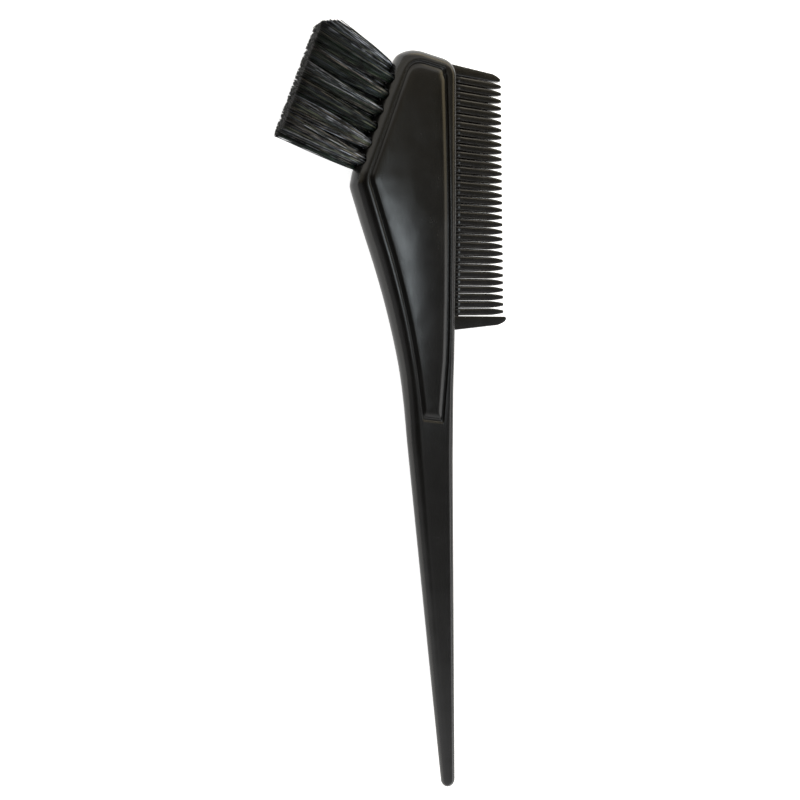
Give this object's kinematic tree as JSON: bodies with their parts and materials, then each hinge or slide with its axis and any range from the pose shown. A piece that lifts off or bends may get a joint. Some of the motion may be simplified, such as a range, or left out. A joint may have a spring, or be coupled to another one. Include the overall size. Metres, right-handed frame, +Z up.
{
  "type": "tint brush",
  "caption": "Hair colouring brush: slim tapering handle with a slanted head, a tufted bristle block on one side and a fine comb with guard teeth on the other.",
  "frame": {"origin": "centre of the brush's outline, on the surface that its back lies on", "axes": "+Y along the handle from the tail tip to the head, +X towards the comb, +Z up out of the front face"},
  "size_m": [0.071, 0.2122, 0.008],
  "materials": {
    "moulded_plastic": "satin black injection-moulded plastic",
    "bristle_nylon": "black extruded nylon filament with a soft sheen",
    "anchor_wire": "rolled flat brass wire"
  },
  "bodies": {
    "root": {"bristle_tuft_back_1": "bristle_nylon", "bristle_tuft_back_2": "bristle_nylon", "bristle_tuft_back_3": "bristle_nylon", "bristle_tuft_back_4": "bristle_nylon", "bristle_tuft_back_5": "bristle_nylon", "bristle_tuft_back_6": "bristle_nylon", "bristle_tuft_back_7": "bristle_nylon", "bristle_tuft_front_1": "bristle_nylon", "bristle_tuft_front_2": "bristle_nylon", "bristle_tuft_front_3": "bristle_nylon", "bristle_tuft_front_4": "bristle_nylon", "bristle_tuft_front_5": "bristle_nylon", "bristle_tuft_front_6": "bristle_nylon", "handle_body": "moulded_plastic", "tuft_anchor_back_1": "anchor_wire", "tuft_anchor_back_2": "anchor_wire", "tuft_anchor_back_3": "anchor_wire", "tuft_anchor_back_4": "anchor_wire", "tuft_anchor_back_5": "anchor_wire", "tuft_anchor_back_6": "anchor_wire", "tuft_anchor_back_7": "anchor_wire", "tuft_anchor_front_1": "anchor_wire", "tuft_anchor_front_2": "anchor_wire", "tuft_anchor_front_3": "anchor_wire", "tuft_anchor_front_4": "anchor_wire", "tuft_anchor_front_5": "anchor_wire", "tuft_anchor_front_6": "anchor_wire"}
  },
  "joints": []
}
